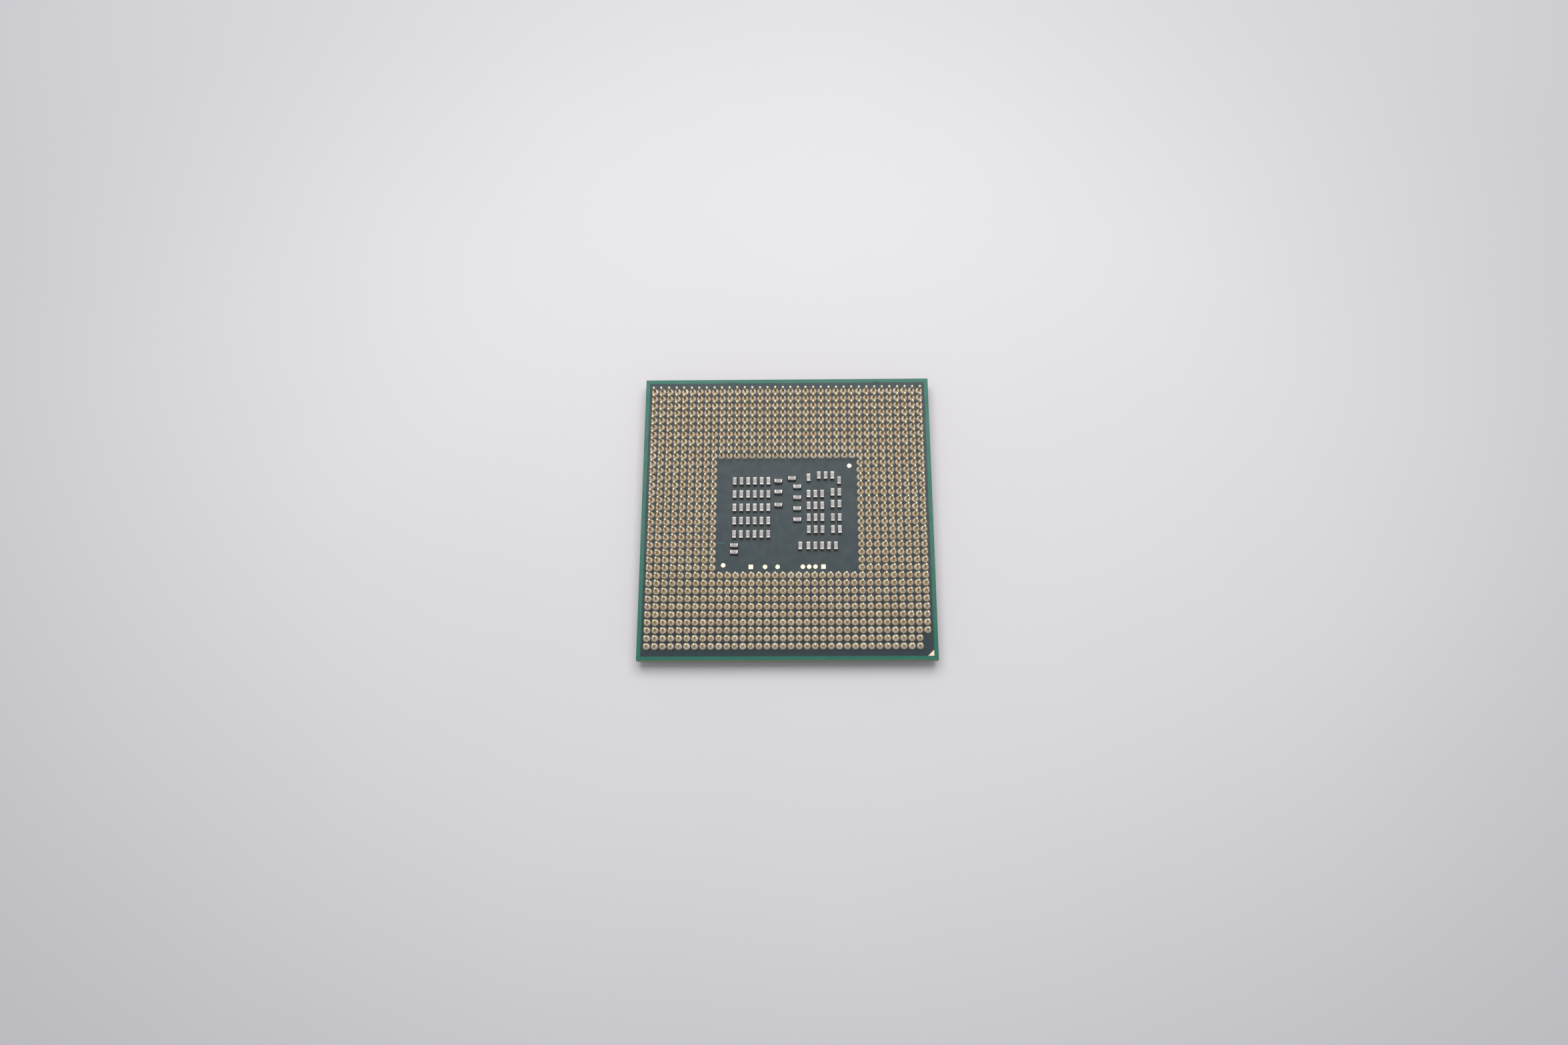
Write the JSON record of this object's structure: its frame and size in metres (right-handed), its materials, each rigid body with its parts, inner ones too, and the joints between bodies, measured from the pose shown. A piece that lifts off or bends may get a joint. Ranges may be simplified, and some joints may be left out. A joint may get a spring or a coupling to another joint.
{
  "type": "processor package",
  "caption": "Bare flip-chip processor package: a square laminate board with a field of short contact pins on one side, chip capacitors in its bare middle and silicon dies on the other.",
  "frame": {"origin": "centre of the board's footprint, on the surface that the backs of the dies rest on", "axes": "+Z out of the board along the pins, +X and +Y along the pin grid, with the key corner at +X -Y"},
  "size_m": [0.0376, 0.0376, 0.0037],
  "materials": {
    "gold_pin": "thin gold plating, slightly dulled",
    "pin_solder": "satin tin solder with flux tint",
    "capacitor_solder": "satin",
    "tinned_terminal": "matte tin plating",
    "capacitor_ceramic": "fine matte",
    "gold_pad": "bright immersion gold",
    "mask_pin_side": "semi-gloss lacquer",
    "mask_die_side": "semi-gloss lacquer",
    "build_up_film": "cut resin edge",
    "glass_fibre_core": "sawn glass-fibre laminate",
    "hole_plug_resin": "matte",
    "copper": "plated copper",
    "silicon": "ground and polished silicon",
    "bump_solder": "satin",
    "underfill_resin": "cured epoxy"
  },
  "bodies": {
    "root": {"build_up_film_die_side_1": "build_up_film", "build_up_film_die_side_2": "build_up_film", "build_up_film_die_side_3": "build_up_film", "build_up_film_pin_side_1": "build_up_film", "build_up_film_pin_side_2": "build_up_film", "build_up_film_pin_side_3": "build_up_film", "capacitor_bodies": "capacitor_ceramic", "capacitor_pads": "gold_pad", "capacitor_solder": "capacitor_solder", "capacitor_terminals": "tinned_terminal", "copper_plane_die_side_1": "copper", "copper_plane_die_side_2": "copper", "copper_plane_pin_side_1": "copper", "copper_plane_pin_side_2": "copper", "core_copper_die_side": "copper", "core_copper_pin_side": "copper", "core_hole_plugs": "hole_plug_resin", "core_hole_sleeves": "copper", "core_laminate": "glass_fibre_core", "corner_mark_die_side": "gold_pad", "corner_mark_pin_side": "gold_pad", "cpu_bumps": "bump_solder", "cpu_die": "silicon", "cpu_underfill": "underfill_resin", "fiducials_die_side": "gold_pad", "fiducials_pin_side": "gold_pad", "graphics_bumps": "bump_solder", "graphics_die": "silicon", "graphics_underfill": "underfill_resin", "pin_pads": "gold_pad", "pin_solder_front": "pin_solder", "pin_solder_left": "pin_solder", "pin_solder_rear": "pin_solder", "pin_solder_right": "pin_solder", "pins_front": "gold_pin", "pins_left": "gold_pin", "pins_rear": "gold_pin", "pins_right": "gold_pin", "solder_mask_die_side": "mask_die_side", "solder_mask_pin_side": "mask_pin_side", "test_pads_round": "gold_pad", "test_pads_square": "gold_pad"}
  },
  "joints": []
}
